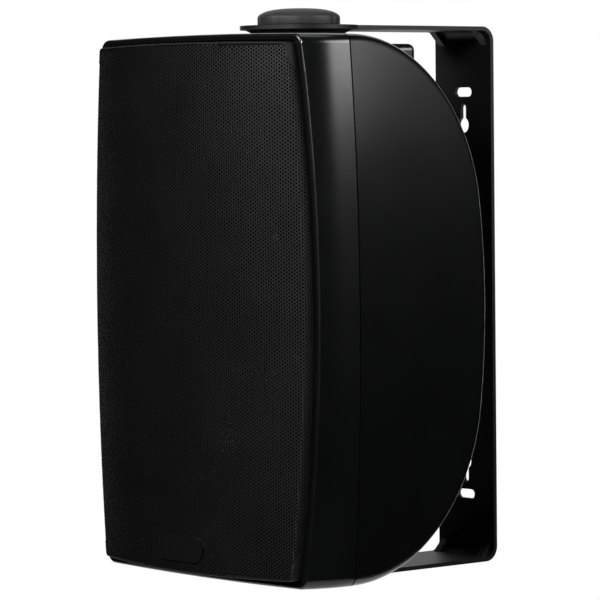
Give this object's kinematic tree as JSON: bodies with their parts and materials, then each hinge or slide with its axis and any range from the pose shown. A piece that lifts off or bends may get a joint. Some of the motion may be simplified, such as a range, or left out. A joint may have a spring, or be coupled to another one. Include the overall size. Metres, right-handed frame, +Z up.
{
  "type": "wall loudspeaker",
  "caption": "Two-way wall loudspeaker with a bowed grille and a rounded cabinet that swivels in a bent steel U bracket, locked by a hand knob.",
  "frame": {"origin": "centre of the bracket's wall face", "axes": "+Z up, the speaker's front faces -Y, +Y points into the wall"},
  "size_m": [0.216, 0.2301, 0.3437],
  "materials": {
    "bracket_paint": "satin powder coat",
    "cabinet": "satin moulded",
    "grille_paint": "satin powder coat",
    "badge": "gloss",
    "knob": "satin moulded",
    "rubber": "matte",
    "zinc_steel": "zinc plated",
    "black_steel": "black oxide",
    "brass": "turned",
    "basket": "satin",
    "ferrite": "ground",
    "copper": "enamelled wire",
    "cone": "satin",
    "cloth": "woven, resin dipped",
    "dome": "coated cloth",
    "tweeter_plastic": "satin moulded",
    "board": "lacquered",
    "capacitor": "gloss",
    "ceramic": "matte",
    "lever_red": "gloss",
    "lever_black": "gloss"
  },
  "bodies": {
    "bracket_body": {"bracket": "bracket_paint"},
    "clamp_washer": {"top_washer": "black_steel"},
    "knob": {"pivot_knob": "knob", "knob_stud": "zinc_steel"},
    "woofer_moving": {"woofer_cone": "cone", "woofer_cap": "cone", "woofer_coil": "copper"},
    "tweeter_moving": {"tweeter_dome": "dome", "tweeter_coil": "copper"},
    "lever_left": {"terminal_lever_left": "lever_black"},
    "lever_right": {"terminal_lever_right": "lever_red"},
    "cabinet": {"rear_shell": "cabinet", "front_frame": "cabinet", "shell_gasket": "rubber", "grille": "grille_paint", "badge": "badge", "top_friction_pad": "rubber", "bottom_friction_pad": "rubber", "bottom_washer": "black_steel", "top_insert": "brass", "bottom_insert": "brass", "pivot_screw": "black_steel", "woofer_basket": "basket", "woofer_top_plate": "zinc_steel", "woofer_magnet": "ferrite", "woofer_yoke": "zinc_steel", "woofer_surround": "rubber", "woofer_spider": "cloth", "woofer_screws": "black_steel", "tweeter_plate": "tweeter_plastic", "tweeter_surround": "dome", "tweeter_top_plate": "zinc_steel", "tweeter_magnet": "ferrite", "tweeter_yoke": "zinc_steel", "tweeter_screws": "black_steel", "port_tubes": "tweeter_plastic", "crossover_board": "board", "crossover_screws": "zinc_steel", "crossover_coils": "copper", "crossover_capacitors": "capacitor", "crossover_resistor": "ceramic", "terminal_cup": "tweeter_plastic", "terminal_screws": "black_steel", "terminal_contacts": "zinc_steel", "shell_screws": "black_steel"}
  },
  "joints": [
    {"name": "cabinet_swivel", "type": "hinge", "parent": "bracket_body", "child": "cabinet", "pos_m": [0, -0.1345, 0], "axis": [0, 0, 1], "range_deg": [-90, 90]},
    {"name": "clamp_lift", "type": "slide", "parent": "cabinet", "child": "clamp_washer", "axis": [0, 0, 1], "range_m": [0, 0.00125]},
    {"name": "knob_turn", "type": "hinge", "parent": "clamp_washer", "child": "knob", "pos_m": [0, -0.1345, 0.17], "axis": [0, 0, 1], "range_deg": [0, 360]},
    {"name": "woofer_excursion", "type": "slide", "parent": "cabinet", "child": "woofer_moving", "axis": [0, -1, 0], "range_m": [-0.004, 0.004], "stiffness_N_per_m": 2000, "deforming": ["woofer_surround", "woofer_spider"]},
    {"name": "tweeter_excursion", "type": "slide", "parent": "cabinet", "child": "tweeter_moving", "axis": [0, -1, 0], "range_m": [-0.0003, 0.0003], "stiffness_N_per_m": 2000, "deforming": ["tweeter_surround"]},
    {"name": "lever_left_press", "type": "hinge", "parent": "cabinet", "child": "lever_left", "pos_m": [-0.0095, -0.0765, -0.026], "axis": [-1, 0, 0], "range_deg": [0, 12], "stiffness_Nm_per_rad": 0.05},
    {"name": "lever_right_press", "type": "hinge", "parent": "cabinet", "child": "lever_right", "pos_m": [0.0095, -0.0765, -0.026], "axis": [-1, 0, 0], "range_deg": [0, 12], "stiffness_Nm_per_rad": 0.05}
  ],
  "couplings": [
    {"joint": "knob_turn", "follows": "clamp_lift", "rad_per_m": 5026.5}
  ]
}
